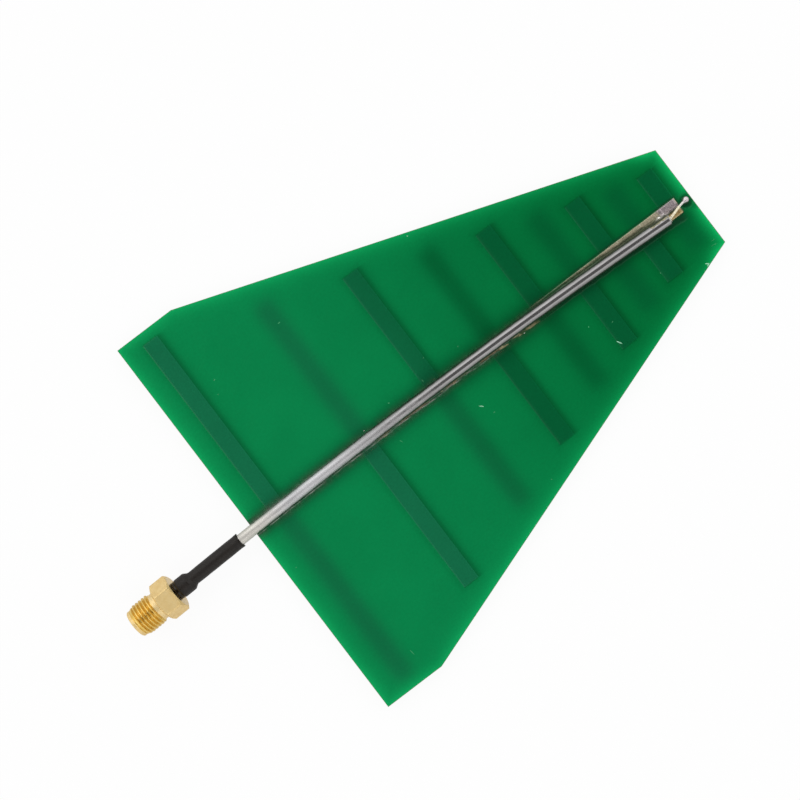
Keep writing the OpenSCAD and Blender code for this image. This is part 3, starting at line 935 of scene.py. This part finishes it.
def paint_boom_solder(mesh):
    x, y, _ = mesh_points(mesh).T
    off = y - line_y(x)
    away = np.abs(off)
    past = x - LINE_END_X
    on_left = off > 0
    on_right = off < 0
    fine = Ripple(21, (0.9, 2.1, 5.3, 11.0))(0.8 * x, 1.6 * y)
    coarse = Ripple(22, (4.0, 9.0))(x, y)
    green = beside_line(green_tone(x, y, 1), x, y)
    # Left: green under flux at the wide end, tan towards the tip, with painted shade in olive in the hollow
    # beside the line
    late = smooth(*TAN_IN, x + 5 * coarse) * smooth(0.02, 0.1, BOOM_HALF - y)
    left = mix(green, mix(OLIVE, TAN, smooth(1.35, 2.0, off + 0.12 * fine)), late)
    # Right: a pale ridge at the wide end, brown flux in the middle, dark green of painted shade from the line
    # towards the tip
    middle = band(*BROWN, x)
    bead = middle * smooth(-1.62, -1.42, off + 0.16 * fine) * np.clip(0.55 + 1.1 * coarse, 0, 1)
    right = mix(mix(green, SHADED_FLUX, 0.85 * smooth(*DARK_IN, x)), FLUX_BROWN, bead)
    ridge = bell(off - ridge_offset(x), RIDGE_W) * (1 - smooth(*PALE_OUT, x))
    pale = ridge * np.clip(0.4 + 0.3 * smooth(14, 26, x) + 0.6 * fine + 0.4 * coarse, 0, 1)
    right = mix(right, RIDGE_GREY, pale)
    tone = np.where(on_left[:, None], left, right)
    # Painted shade in the crevice along the line, and tan specks along the brown flux
    soft = np.where(on_left, 0.5 * late + 0.6 * smooth(24, 8, x), 0.0)
    tone = mix(tone, CREVICE_SHADE, smooth(1.2, 1.07, away) * (1 - soft) * (past < 0))
    in_flux = band(1.1, 1.3, 1.55, 1.7, away) * on_right
    tone = mix(tone, SPECK_TAN, 0.7 * middle * smooth(0.4, 0.8, fine + 0.4 * coarse) * in_flux)
    # The end: a mauve plate on the left, a golden patch on the right
    on_boom = smooth(0.02, 0.1, BOOM_HALF - np.abs(y)) * smooth(0.0, 0.08, BOOM_END - x)
    plate = smooth(-1.0, -0.1, past + 0.3 * fine) * smooth(-0.1, 0.35, y) * smooth(1.15, 1.45, off)
    plate = np.maximum(plate, smooth(0.0, 0.5, past) * smooth(-0.3, 0.2, y)) * on_boom
    tone = mix(tone, POOL_MAUVE, plate)
    patch = smooth(0.4, 0.8, past) * smooth(-0.35, -0.6, y) * on_boom
    tone = mix(tone, PATCH_GOLD, patch)
    rim = np.maximum(smooth(0.3, 0.12, BOOM_END - x), smooth(0.3, 0.12, BOOM_HALF + y))
    tone = mix(tone, SPECK_TAN * 1.2, 0.8 * patch * rim)
    # Tan solder over the line, painted glints on the lumps beside its end, and bright solder round the wire
    ridden = smooth(-6.0, -4.0, past) * (past < 0) * smooth(1.3, 1.0, off) * on_left
    tone = mix(tone, mix(TAN, OLIVE, smooth(0.5, 1.1, off + 0.2 * fine)), 0.9 * ridden)
    lump = band(-2.4, -1.2, 0.0, 0.3, past) * band(0.95, 1.1, 1.45, 1.75, off)
    glint = lump * np.clip(0.35 + 0.8 * Ripple(23, (0.5, 1.1))(x, y), 0, 1)
    tone = mix(tone, TIN_AND_GLINT, glint)
    wet = band(-0.05, 0.05, 0.45, 0.75, past) * smooth(0.95, 0.6, away)
    tone = mix(tone, TIN_AND_GLINT, wet)
    add_colour(mesh, "tone", tone)
    metal = 0.3 * plate + 0.3 * pale * on_right + 0.3 * late * on_left + 0.25 * ridden
    add_value(mesh, "metal", np.clip(np.maximum(metal, np.maximum(0.9 * wet, 0.8 * glint)), 0, 1))
    dry = np.where(on_left, late, 0.8 * bead + 0.7 * pale) + plate + patch
    add_value(mesh, "dry", np.clip(dry, 0, 1) * (1 - np.maximum(wet, glint)))


def make_boom_solder():
    """A closed sheet whose underside lies on the copper and the laminate."""
    xs = np.linspace(SOLDER_START, BOOM_END + WINDOW_GAP - SKIRT_BACK, SOLDER_ROWS)
    cross = np.linspace(-SKIRT_HALF, SKIRT_HALF, SOLDER_COLUMNS)
    gx, gy = np.meshgrid(xs, cross, indexing="ij")
    on_copper = smooth(0, 0.02, BOOM_HALF - np.abs(gy)) * smooth(0, 0.02, BOOM_END - gx)
    high = np.stack([gx, gy, boom_solder_top(gx, gy)], -1)
    flat = np.stack([gx, gy, 0.001 + (COPPER_T - 0.001) * on_copper], -1)
    high[..., 2] = np.maximum(high[..., 2], flat[..., 2] + 0.002)
    bm = bmesh.new()
    top = ring_verts(bm, high)
    low = ring_verts(bm, flat)
    columns = range(len(cross) - 1)
    for i in range(len(xs) - 1):
        for j in columns:
            bm.faces.new((top[i][j], top[i + 1][j], top[i + 1][j + 1], top[i][j + 1]))
            bm.faces.new((low[i][j], low[i][j + 1], low[i + 1][j + 1], low[i + 1][j]))
        for j in (0, -1):
            bm.faces.new((top[i][j], low[i][j], low[i + 1][j], top[i + 1][j]))
    for i in (0, -1):
        for j in columns:
            bm.faces.new((top[i][j], top[i][j + 1], low[i][j + 1], low[i][j]))
    paint_boom_solder(finish_piece("boom_solder_bead", bm, solder_material(), 70, ["boom_solder"]))


make_boom_solder()

# Flecks and scuffs on the coating and the solder, the white ones specks of tin painted as glints: place,
# length, width, turn in degrees and colour
TIN_SPECK_AND_GLINT = linear(200, 204, 190)
PALE = linear(140, 204, 168)
GREEN = linear(38, 146, 90)
DIM = linear(32, 122, 74)
FLECKS = (
    (75.9, -13.75, 1.3, 0.26, 118, PALE),
    (48.11, -7.67, 1.2, 0.22, 135, PALE),
    (101.26, -9.97, 1.5, 0.12, 168, GREEN),
    (101.63, -9.18, 1.0, 0.12, 172, GREEN),
    (98.05, -12.05, 0.9, 0.3, -37, PALE),
    (97.95, -12.35, 0.6, 0.22, 26, PALE),
    (9.77, -36.47, 1.4, 0.16, 97, GREEN),
    (11.18, 26.62, 0.4, 0.3, 45, GREEN),
    (10.1, 24.0, 0.3, 0.24, 0, GREEN),
    (34.6, 3.34, 0.4, 0.28, -45, GREEN),
    (27.3, 27.8, 0.5, 0.24, 8, GREEN),
    (73.13, -8.01, 0.35, 0.22, 30, GREEN),
    (56.35, 26.17, 0.3, 0.24, 0, PALE),
    (32.15, -3.79, 0.85, 0.16, 114, GREEN),
    (89.94, -8.13, 0.35, 0.2, 70, DIM),
    (77.23, -9.93, 0.4, 0.24, 45, DIM),
    (49.32, -10.02, 0.5, 0.2, 8, GREEN),
    (50.27, -26.57, 0.3, 0.2, 120, GREEN),
    (2.08, -10.69, 0.3, 0.2, 20, GREEN),
    (44.91, 6.16, 0.3, 0.2, 0, DIM),
    (42.18, 2.8, 0.7, 0.2, 90, DIM),
    (51.37, 3.96, 0.3, 0.2, 40, DIM),
    # Specks of tin, painted white as glints
    (27.8, 2.0, 0.3, 0.22, 10, TIN_SPECK_AND_GLINT),
    (62.8, -1.6, 0.36, 0.2, 0, TIN_SPECK_AND_GLINT),
    (87.0, 1.5, 0.4, 0.24, 20, TIN_SPECK_AND_GLINT),
    (92.3, 1.39, 0.34, 0.24, 70, TIN_SPECK_AND_GLINT),
)
FLECK_SIDES = 10
FLECK_T = 0.02
FLECK_SEAT = 0.012
FLECK_TOP = 0.75
FLECK_REACH = (0.75, 1.1)


def make_flecks():
    """Each fleck is a thin lens with an uneven outline, seated in the surface under it."""
    rng = np.random.default_rng(61)
    phi = turn(FLECK_SIDES)
    bm = bmesh.new()
    tones = []
    for x, y, length, width, degrees, colour in FLECKS:
        a = math.radians(degrees)
        reach = rng.uniform(*FLECK_REACH, FLECK_SIDES)
        along = 0.5 * length * np.cos(phi) * reach
        across = 0.5 * width * np.sin(phi) * reach
        px = x + along * math.cos(a) - across * math.sin(a)
        py = y + along * math.sin(a) + across * math.cos(a)
        if abs(y) < BOOM_HALF:
            base = boom_solder_top(px, py)
        else:
            base = MASK_T + COPPER_T * smooth(*RISE, strip_depth(px, py, 1))
        low = np.stack([px, py, base - FLECK_SEAT], -1)
        high = np.stack([x + FLECK_TOP * (px - x), y + FLECK_TOP * (py - y), base + FLECK_T], -1)
        skin([low, high], bm)
        tones += [colour] * (2 * FLECK_SIDES)
    mesh = finish_piece("flecks", bm, fleck_material(), 60)
    add_colour(mesh, "tone", np.array(tones))


make_flecks()

# Line: a drawn tube with faint ripples, cut square at the tip
LINE_SIDES = 48
# The cut end is rounded outside, with a bevel inside and the bore round the core: distance back, radius
CUT_END = ((0.16, LINE_R + 0.01), (0.09, LINE_R - 0.02), (0.03, LINE_R - 0.07), (0.0, LINE_R - 0.14),
           (0.0, CORE_R + 0.05), (0.04, CORE_R))


def make_line():
    wander = Ripple(31, (4.0, 11.0, 30.0), 1)
    dents = Ripple(32, (2.5, 6.0))
    stations = np.concatenate([np.linspace(-BEAD_REAR, 0, 30)[:-1], np.linspace(0, LINE_END - 0.25, 190)])
    phi = turn(LINE_SIDES)
    rings = []
    for s in stations:
        rings.append(ring_at(s, LINE_R * (1 + 0.004 * wander(s)) + 0.006 * dents(s, phi * 1.1), LINE_SIDES))
    rings += [ring_at(LINE_END - back, radius, LINE_SIDES) for back, radius in CUT_END]
    rings += [ring_at(s, CORE_R, LINE_SIDES) for s in (LINE_END - 1.0, LINE_END / 2, 0.0, -BEAD_REAR)]
    bm = loop_skin(rings)
    mesh = finish_piece("coax_tube", bm, line_material(), 50, ["coax_outer_conductor"])
    # Painted shade at the flanks, less of it over the wide end
    x, y, _ = mesh_points(mesh).T
    side = np.abs(y - line_y(x)) / LINE_R + 0.05 * Ripple(33, (1.0, 2.5, 6.0), 1)(x)
    edge = side - 0.15 * smooth(40, 22, x)
    add_value(mesh, "flank_shade", smooth(0.62, 0.92, edge) * smooth(-0.1, 0.3, x))


make_line()

# Centre wire: along the core, out of its end and over to the feed hole
WIRE_SIDES = 20
WIRE_TIN = linear(214, 210, 206)
WIRE_CREAM = linear(236, 226, 196)
WIRE_TIP_Z = -LAMINATE_T - COPPER_T - 0.8
SOCKET_REACH = 1.9
BALL_Z = 0.62


def bezier(points, count):
    a, b, c, d = (np.array(p, float) for p in points)
    t = np.linspace(0, 1, count)[:, None]
    return a * (1 - t) ** 3 + 3 * b * t * (1 - t) ** 2 + 3 * c * t * t * (1 - t) + d * t ** 3


def path_rings(path, radius, sides):
    """Rings along a path, without a twist."""
    along = np.gradient(path, axis=0)
    along /= np.linalg.norm(along, axis=1)[:, None]
    side = np.cross(UP, along[0])
    side /= np.linalg.norm(side)
    phi = turn(sides)[:, None]
    rings = []
    for centre, direction in zip(path, along):
        side = side - direction * np.dot(side, direction)
        side /= np.linalg.norm(side)
        over = np.cross(direction, side)
        rings.append(centre + radius * (np.cos(phi) * side + np.sin(phi) * over))
    return rings


def make_wire():
    inside = [on_line(s)[0] for s in np.linspace(-BEAD_REAR - SOCKET_REACH, LINE_END, 120)]
    end, along, _ = on_line(LINE_END)
    leave = end + along * 1.2 + UP * 0.05 + np.array([0.0, 0.25, 0.0])
    hop = bezier([end, leave, (HOLE_X - 1.9, -0.12, 0.98), (HOLE_X - 0.15, -0.03, BALL_Z)], 26)
    down = bezier([hop[-1], (HOLE_X, 0, BALL_Z - 0.12), (HOLE_X, 0, 0.2), (HOLE_X, 0, WIRE_TIP_Z)], 20)
    path = np.concatenate([inside, hop[1:], down[1:]])
    bm = skin(path_rings(path, WIRE_R, WIRE_SIDES), bmesh.new())
    mesh = finish_piece("centre_wire", bm, wire_material(), 60, ["coax_centre_conductor"])
    x = mesh_points(mesh)[:, 0]
    cream = band(LINE_END_X + 0.1, LINE_END_X + 0.5, BOOM_END - 0.5, BOOM_END + 0.1, x)
    add_colour(mesh, "tone", mix(WIRE_TIN, WIRE_CREAM, cream))
    add_value(mesh, "metal", 1 - 0.85 * cream)


make_wire()

# Feed solder: a teardrop drawn along the wire in front, a filled hole and a cone behind
FEED_SIDES = 40
# Radius and height of the cone over the back copper, and of the teardrop over the laminate
BACK_CONE = ((0.31, 0.58), (0.38, 0.36), (0.5, 0.16), (0.64, 0.05))
FRONT_DROP = ((0.72, -0.005), (0.74, 0.05), (0.7, 0.14), (0.66, 0.28), (0.645, 0.42), (0.62, 0.58),
              (0.56, 0.74), (0.47, 0.87), (0.33, 0.97), (0.17, 1.02), (0.05, 1.035))


def make_feed_solder():
    phi = turn(FEED_SIDES)
    back = -LAMINATE_T - COPPER_T
    foot_r = BACK_OPEN_R + 0.06
    profile = [(WIRE_R * 0.5, WIRE_TIP_Z), (WIRE_R + 0.03, WIRE_TIP_Z + 0.04)]
    profile += [(r, back - height) for r, height in BACK_CONE]
    profile += [(foot_r, back - 0.02), (foot_r, back + 0.005), (HOLE_R, back + 0.005), (HOLE_R, -0.005)]
    profile += FRONT_DROP
    wobble = Ripple(41, (1.2, 2.6))
    rings = []
    for r, z in profile:
        radius = r * (1 + 0.03 * wobble(phi, np.full(FEED_SIDES, z * 2)))
        # The front is drawn out towards the wire
        pull = smooth(0.1, 0.7, z) * smooth(0.2, 1.0, np.cos(phi))
        x = HOLE_X - radius * np.cos(phi) - pull * radius * 0.95
        y = radius * np.sin(phi) * (1 - 0.45 * pull) - 0.25 * pull * radius
        lift = 0.12 * pull * smooth(0.3, 0.9, z)
        rings.append(np.stack([x, y, z + lift], -1))
    bm = skin(rings, bmesh.new())
    finish_piece("feed_solder_drop", bm, bright_tin, 75, ["feed_solder"])


make_feed_solder()

# Sleeve: shrunk over the boss and the line, with a rolled mouth and a thinner collar at the hexagon
SLEEVE_SIDES = 64
COLLAR = 0.75
COLLAR_FROM = HEX_REAR - COLLAR
SLEEVE_STEP = BOSS_REAR - SLEEVE_TAPER
# Distance from the mouth, the collar's start or the hexagon, and rise over the sleeve's radius
MOUTH_ROLL = ((0.03, -0.2), (0.0, -0.1), (0.02, 0.0), (0.08, 0.05), (0.2, 0.055), (0.45, 0.03))
COLLAR_EDGE = ((0.0, -0.005), (0.06, -0.05))
COLLAR_END = ((0.1, -0.1), (0.03, -0.15), (0.02, -0.22))


def make_sleeve():
    thin_r = LINE_R + SLEEVE_WALL
    thick_r = BOSS_R + SLEEVE_WALL
    shrink = Ripple(51, (2.2, 5.0))
    phi = turn(SLEEVE_SIDES)
    along = on_line(-1.0)[1]
    outer = [(BARE_LEN + back, thin_r + rise) for back, rise in MOUTH_ROLL]
    outer += [(q, thin_r) for q in np.linspace(BARE_LEN + 0.8, SLEEVE_STEP - 0.4, 22)]
    for t in np.linspace(0, 1, 14):
        outer.append((SLEEVE_STEP - 0.05 + 1.1 * t, thin_r + (thick_r - thin_r) * t * t * (3 - 2 * t)))
    outer += [(q, thick_r + 0.01) for q in np.linspace(BOSS_REAR + 0.3, COLLAR_FROM - 0.1, 6)]
    outer += [(COLLAR_FROM + back, thick_r + rise) for back, rise in COLLAR_EDGE]
    outer += [(q, thick_r - 0.09) for q in np.linspace(COLLAR_FROM + 0.14, HEX_REAR - 0.2, 4)]
    outer += [(HEX_REAR - ahead, thick_r + rise) for ahead, rise in COLLAR_END]
    inner = [(HEX_REAR - 0.02, BOSS_R + 0.005), (BOSS_REAR, BOSS_R + 0.005), (SLEEVE_STEP, LINE_R + 0.012),
             (BARE_LEN + 0.03, LINE_R + 0.012)]
    rings = []
    for q, r in outer:
        fade = band(BARE_LEN, BARE_LEN + 0.5, HEX_REAR - 0.4, HEX_REAR, q)
        radius = r + 0.02 * fade * shrink(q * 0.9, 1.6 * np.cos(phi) + 3 * (q > SLEEVE_STEP))
        # The mouth is hollow on top and its sides reach further along the line; the step is a little askew
        mouth = 0.5 * (np.sin(phi) ** 2 - 0.85) * smooth(BARE_LEN + 1.4, BARE_LEN, q)
        askew = band(-0.4, 0.2, 1.0, 1.6, q - SLEEVE_STEP)
        shift = mouth - 0.2 * np.cos(phi - 1.2) * askew
        rings.append(ring_at(-q, radius, SLEEVE_SIDES) + along * shift[:, None])
    bm = loop_skin(rings + rings_behind(inner, SLEEVE_SIDES))
    mesh = finish_piece("shrink_sleeve", bm, sleeve_material(), 60, ["heat_shrink_sleeve"])
    back = behind_edge(mesh)
    at_mouth = smooth(BARE_LEN + 0.35, BARE_LEN + 0.1, back)
    add_value(mesh, "lip", np.maximum(at_mouth, smooth(COLLAR_FROM - 0.02, COLLAR_FROM + 0.06, back)))


make_sleeve()

# Jack: boss, chamfered hexagon, relief, right-hand thread, lead and mouth in one turned piece
JACK_SIDES = 168
CORNER_BREAK = 0.05
CHAMFER_DEPTH = 0.4
FACE_STEP = 0.12
SOLDER_GAP = 0.08
RINGS_PER_TURN = 15
# Share of half a turn that is flat at the thread's root, and that its flank takes
ROOT_FLAT = 0.08
FLANK_SHARE = 0.68
THREAD_FROM = HEX_FRONT + RELIEF_LEN
NOSE_FROM = JACK_RIM - NOSE_LEN
RUNOUT_FROM = NOSE_FROM - RUNOUT_LEN
NECK_PALE = 0.15


def barrel_radius(q, phi):
    """Radius of the barrel: relief, thread with its lead-in and runout, and nose."""
    if q < THREAD_FROM:
        return RELIEF_R
    if q > NOSE_FROM:
        return NOSE_R
    root = THREAD_R - THREAD_DEPTH
    cycle = np.abs(2 * np.mod((q - HEX_FRONT) / PITCH - phi / (2 * math.pi), 1.0) - 1)
    threaded = root + (THREAD_R - root) * np.clip((cycle - ROOT_FLAT) / FLANK_SHARE, 0, 1)
    lead_in = max(RELIEF_R + q - THREAD_FROM, RELIEF_R)
    fall = (THREAD_R - NOSE_R) / RUNOUT_LEN
    lead_out = max(THREAD_R - fall * max(q - RUNOUT_FROM, 0), NOSE_R)
    return np.minimum(np.minimum(threaded, lead_in), lead_out)


def make_jack():
    phi = turn(JACK_SIDES)
    sixth = math.radians(60)
    corner = HEX_AF / 2 / math.cos(sixth / 2)
    wrapped = np.mod(phi - HEX_TURN + sixth / 2, sixth) - sixth / 2
    # Corners are broken by a small radius, and both faces are chamfered
    flat = np.minimum(HEX_AF / 2 / np.cos(wrapped), corner - CORNER_BREAK)
    slope = 1 / math.tan(math.radians(30))
    rear_r = corner - CHAMFER_DEPTH * slope
    chamfer = [(d, np.minimum(flat, rear_r + d * slope)) for d in np.linspace(0, CHAMFER_DEPTH + 0.02, 9)]
    profile = [(BOSS_REAR, BOSS_R - 0.06), (BOSS_REAR + 0.08, BOSS_R), (HEX_REAR, BOSS_R)]
    profile += [(HEX_REAR, rear_r - FACE_STEP)]
    profile += [(HEX_REAR + d + 0.01, radius) for d, radius in chamfer]
    profile += [(HEX_FRONT - d - 0.01, radius) for d, radius in chamfer[::-1]]
    profile += [(HEX_FRONT, rear_r - FACE_STEP), (HEX_FRONT, RELIEF_R + 0.1), (HEX_FRONT + 0.1, RELIEF_R)]
    for q in np.arange(HEX_FRONT + 0.3, JACK_RIM - RIM_CHAMFER, PITCH / RINGS_PER_TURN):
        profile.append((q, barrel_radius(q, phi)))
    bore_r = LINE_R + SOLDER_GAP
    profile += [(JACK_RIM - RIM_CHAMFER, NOSE_R), (JACK_RIM, NOSE_R - RIM_CHAMFER),
                (JACK_RIM, MOUTH_R + 0.08), (JACK_RIM - 0.08, MOUTH_R), (MATING_PLANE + 0.02, MOUTH_R),
                (MATING_PLANE, MOUTH_R - 0.02), (MATING_PLANE, BEAD_R), (BEAD_REAR, BEAD_R),
                (BEAD_REAR, bore_r), (BOSS_REAR, bore_r)]
    bm = loop_skin(rings_behind(profile, JACK_SIDES))
    mesh = finish_piece("jack_body", bm, gold, 24, ["connector_body"])
    back = behind_edge(mesh)
    cut = band(THREAD_FROM - 0.05, THREAD_FROM + 0.05, NOSE_FROM - 0.1, NOSE_FROM, back)
    add_value(mesh, "thread", cut)
    add_value(mesh, "polish", smooth(HEX_REAR + 0.01, HEX_REAR + 0.002, back))
    neck = band(HEX_FRONT, HEX_FRONT + 0.1, THREAD_FROM, THREAD_FROM + 0.3, back)
    add_value(mesh, "pale", NECK_PALE * neck)


make_jack()

# Stage: a pale floor, white to the camera but for a faint shadow; metal sees a part of that white in it
FLOOR_HALF = 2.0
FLOOR_PALE = np.array([0.86, 0.86, 0.86])
FLOOR_SHARE = 0.93
MIRROR_SHARE = 0.35


def make_floor():
    mesh = bpy.data.meshes.new("floor")
    corners = [(FLOOR_HALF * x, FLOOR_HALF * y, 0) for x, y in ((-1, -1), (1, -1), (1, 1), (-1, 1))]
    mesh.from_pydata(corners, [], [(0, 1, 2, 3)])
    floor = add_object("floor", mesh)
    m = Paint("white_floor")
    m.tree.nodes.remove(m.shader)
    camera, mirrored = m.rays()
    seen = m.math("MULTIPLY", camera, FLOOR_SHARE)
    share = m.math("MAXIMUM", seen, m.math("MULTIPLY", mirrored, MIRROR_SHARE))
    plain = m.node("BsdfDiffuse", {"Color": FLOOR_PALE})[0]
    white = m.node("Emission")[0]
    blend = m.node("MixShader", {0: share, 1: plain, 2: white})[0]
    m.feed(m.tree.nodes["Material Output"].inputs["Surface"], blend)
    mesh.materials.append(m.material)


make_floor()

# Light: a bright ring in the sky between a dark round patch overhead, tilted to the tip, and a dim horizon.
# It is white to the camera, and near the horizon to rays from metal and glass
RING = 1.53
PATCH = 0.04
HORIZON = 0.28
LEFT_SHARE = 0.22
PATCH_TILT = math.radians(7)
PATCH_INNER = math.radians(22)
PATCH_OUTER = math.radians(35)
RING_LOW = math.radians(58)
HORIZON_HIGH = math.radians(84)


def make_world():
    world = bpy.data.worlds.new("studio")
    bpy.context.scene.world = world
    world.use_nodes = True
    m = Nodes(world.node_tree)
    direction = m.node("TexCoord")["Generated"]
    patch_axis = (math.sin(PATCH_TILT), 0, math.cos(PATCH_TILT))
    height = m.node("VectorMath", {0: direction, 1: patch_axis}, operation="DOT_PRODUCT")["Value"]

    def ramp(high, low, at_high, at_low):
        """Light that changes smoothly between two angles from the patch's middle."""
        return m.remap(height, math.cos(low), math.cos(high), at_low, at_high)

    patch = ramp(PATCH_INNER, PATCH_OUTER, PATCH / RING, 1.0)
    sky = m.math("MULTIPLY", patch, ramp(RING_LOW, HORIZON_HIGH, RING, HORIZON))
    across = m.node("SeparateXYZ", {0: direction})["Y"]
    lit = m.math("MULTIPLY", sky, m.math("MULTIPLY_ADD", across, LEFT_SHARE, 1.0))
    camera, mirrored = m.rays()
    low = m.math("MULTIPLY", mirrored, ramp(RING_LOW, HORIZON_HIGH, 0.0, 1.0))
    background = m.tree.nodes["Background"]
    background.inputs["Color"].default_value = (1, 1, 1, 1)
    m.feed(background.inputs["Strength"], m.between(m.math("MAXIMUM", camera, low), lit, 1.0))


make_world()

# Camera: straight above, turned so that the boom rises to the right
CAMERA_X = 36.63
CAMERA_Y = 2.525
CAMERA_HEIGHT = 255.0
VIEW_WIDTH = 150.1
CAMERA_TURN = math.atan2(-0.60547, 0.79587)


def make_camera():
    data = bpy.data.cameras.new("camera")
    camera = add_object("camera", data)
    top = MASK_T + COPPER_T
    camera.location = to_frame((CAMERA_X, CAMERA_Y, top + CAMERA_HEIGHT))
    camera.rotation_euler = (0, 0, CAMERA_TURN)
    data.angle = 2 * math.atan(VIEW_WIDTH / 2 / CAMERA_HEIGHT)
    data.clip_start = 0.01
    bpy.context.scene.camera = camera


make_camera()
bpy.context.scene.view_settings.view_transform = "Standard"
